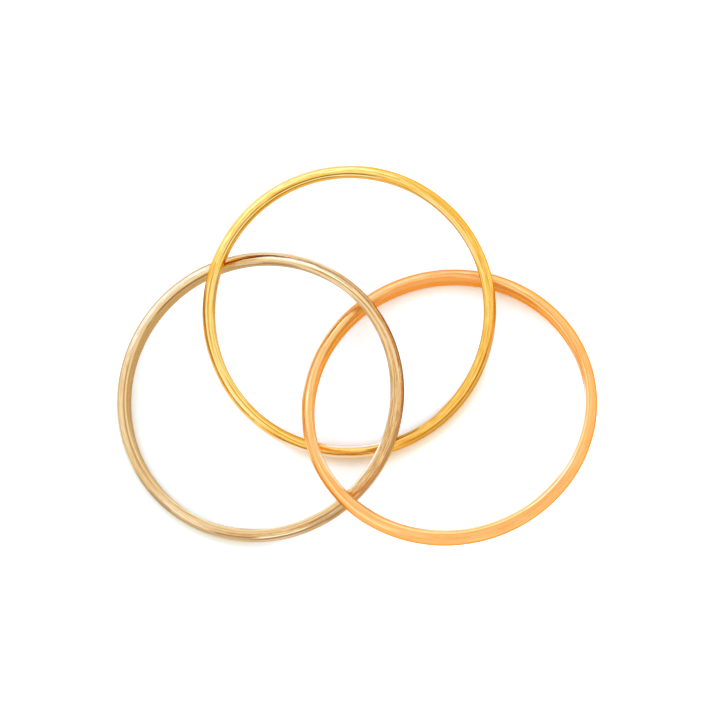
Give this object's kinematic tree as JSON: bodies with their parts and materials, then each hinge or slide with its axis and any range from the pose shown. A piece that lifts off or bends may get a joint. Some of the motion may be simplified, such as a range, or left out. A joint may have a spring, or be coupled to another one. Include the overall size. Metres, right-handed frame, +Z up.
{
  "type": "linked stacking ring of plain bands",
  "caption": "Finger ring of slim plain gold bands linked through one another, spread out flat, in yellow, white and rose gold.",
  "frame": {"origin": "middle of the box round the three bands, on the surface that they lie on", "axes": "+Z up from the surface, -X towards the white gold band, +X towards the rose gold band, +Y towards the yellow gold band"},
  "size_m": [0.0322, 0.026, 0.0047],
  "materials": {
    "yellow_gold": "polished yellow gold with faint lines along the band",
    "white_gold": "polished pale champagne white gold with faint lines along the band",
    "rose_gold": "polished peach rose gold with faint lines along the band"
  },
  "bodies": {
    "root": {"yellow_band": "yellow_gold", "white_band": "white_gold", "rose_band": "rose_gold"}
  },
  "joints": []
}
